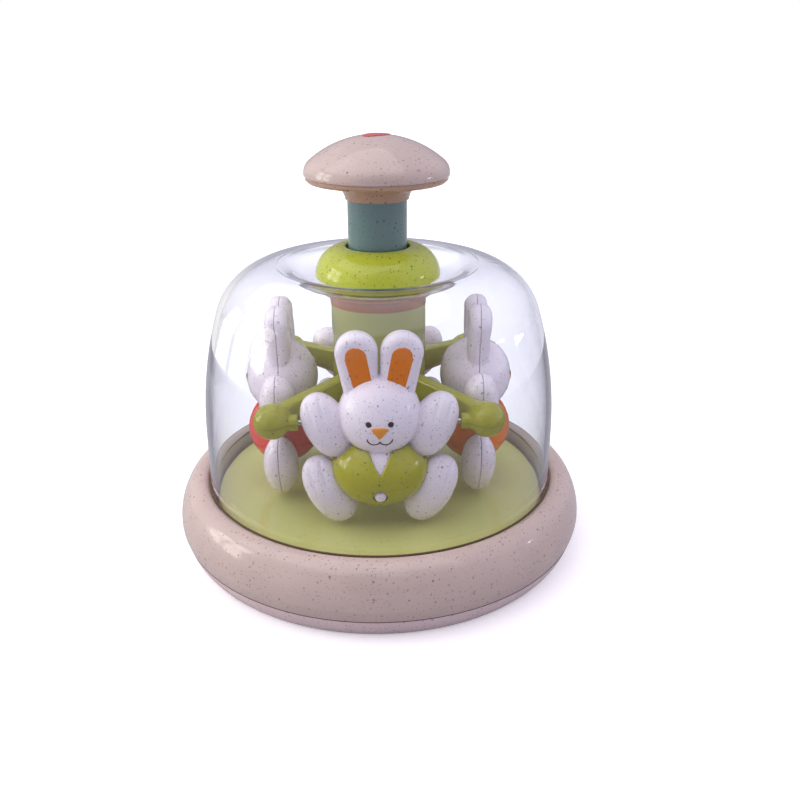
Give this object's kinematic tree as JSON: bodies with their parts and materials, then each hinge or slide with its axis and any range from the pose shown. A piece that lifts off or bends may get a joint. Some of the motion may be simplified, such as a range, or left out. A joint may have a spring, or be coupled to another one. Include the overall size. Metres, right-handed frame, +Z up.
{
  "type": "push and spin toy carousel",
  "caption": "Push-down spinning toy: clear dome on a round base, mushroom knob on top, and a turning column inside with rabbits swinging on its arms.",
  "frame": {"origin": "centre of the underside, on the table", "axes": "+Z up along the column, -Y towards the front rabbit, +X to its right as seen from the front"},
  "size_m": [0.17, 0.17, 0.1676],
  "materials": {
    "base_beige": "glossy speckled beige plastic",
    "sage": "glossy speckled sage green plastic",
    "clear": "clear glossy plastic",
    "lime": "glossy speckled lime green plastic",
    "olive": "glossy olive green plastic",
    "teal": "glossy speckled dusty teal plastic",
    "orange": "glossy orange plastic",
    "coral": "glossy coral red plastic",
    "rabbit_white": "satin white plastic with grey specks",
    "badge_red": "glossy red inlay",
    "inner_grey": "matt grey hidden plastic",
    "steel": "bright steel"
  },
  "bodies": {
    "base": {"base_bottom": "base_beige", "base_ring": "base_beige", "floor_plate": "sage", "dome": "clear", "collar": "lime", "collar_nut": "lime", "spring_seat": "inner_grey", "base_screws": "steel", "floor_screws": "steel", "spindle": "steel", "thrust_washer": "inner_grey", "return_spring": "steel"},
    "plunger": {"plunger_tube": "teal", "knob_plate": "base_beige", "knob_cap": "base_beige", "knob_badge": "badge_red", "knob_screw": "steel", "drive_nut": "inner_grey"},
    "drive": {"drive_screw": "inner_grey", "clutch_driver": "inner_grey"},
    "carousel": {"clutch_hub": "inner_grey", "column_tube": "sage", "column_ring": "orange", "arm_spider": "olive", "pin_caps": "olive", "cap_screws": "steel"},
    "front_rabbit": {"front_rabbit_shell_front": "rabbit_white", "front_rabbit_shell_back": "rabbit_white", "front_rabbit_vest_front": "lime", "front_rabbit_vest_back": "lime", "front_rabbit_ear_linings": "orange", "front_rabbit_button": "rabbit_white", "front_rabbit_pin": "steel"},
    "right_rabbit": {"right_rabbit_shell_front": "rabbit_white", "right_rabbit_shell_back": "rabbit_white", "right_rabbit_vest_front": "orange", "right_rabbit_vest_back": "orange", "right_rabbit_ear_linings": "orange", "right_rabbit_button": "rabbit_white", "right_rabbit_pin": "steel"},
    "back_rabbit": {"back_rabbit_shell_front": "rabbit_white", "back_rabbit_shell_back": "rabbit_white", "back_rabbit_vest_front": "teal", "back_rabbit_vest_back": "teal", "back_rabbit_ear_linings": "orange", "back_rabbit_button": "rabbit_white", "back_rabbit_pin": "steel"},
    "left_rabbit": {"left_rabbit_shell_front": "rabbit_white", "left_rabbit_shell_back": "rabbit_white", "left_rabbit_vest_front": "coral", "left_rabbit_vest_back": "coral", "left_rabbit_ear_linings": "orange", "left_rabbit_button": "rabbit_white", "left_rabbit_pin": "steel"}
  },
  "joints": [
    {"name": "knob_push", "type": "slide", "parent": "base", "child": "plunger", "axis": [0, 0, -1], "range_m": [0, 0.017], "stiffness_N_per_m": 40, "springref_m": -0.012, "deforming": ["return_spring"]},
    {"name": "drive_turn", "type": "hinge", "parent": "base", "child": "drive", "pos_m": [0, 0, 0.04], "axis": [0, 0, 1], "range_deg": [-1, 181]},
    {"name": "carousel_spin", "type": "hinge", "parent": "base", "child": "carousel", "pos_m": [0, 0, 0.04], "axis": [0, 0, 1], "continuous": true},
    {"name": "front_rabbit_swing", "type": "hinge", "parent": "carousel", "child": "front_rabbit", "pos_m": [0, -0.04, 0.0675], "axis": [-1, 0, 0], "range_deg": [-14, 20]},
    {"name": "right_rabbit_swing", "type": "hinge", "parent": "carousel", "child": "right_rabbit", "pos_m": [0.04, 0, 0.0675], "axis": [0, -1, 0], "range_deg": [-14, 20]},
    {"name": "back_rabbit_swing", "type": "hinge", "parent": "carousel", "child": "back_rabbit", "pos_m": [0, 0.04, 0.0675], "axis": [1, 0, 0], "range_deg": [-14, 20]},
    {"name": "left_rabbit_swing", "type": "hinge", "parent": "carousel", "child": "left_rabbit", "pos_m": [-0.04, 0, 0.0675], "axis": [0, 1, 0], "range_deg": [-14, 20]}
  ],
  "couplings": [
    {"joint": "drive_turn", "follows": "knob_push", "rad_per_m": 184.8}
  ]
}
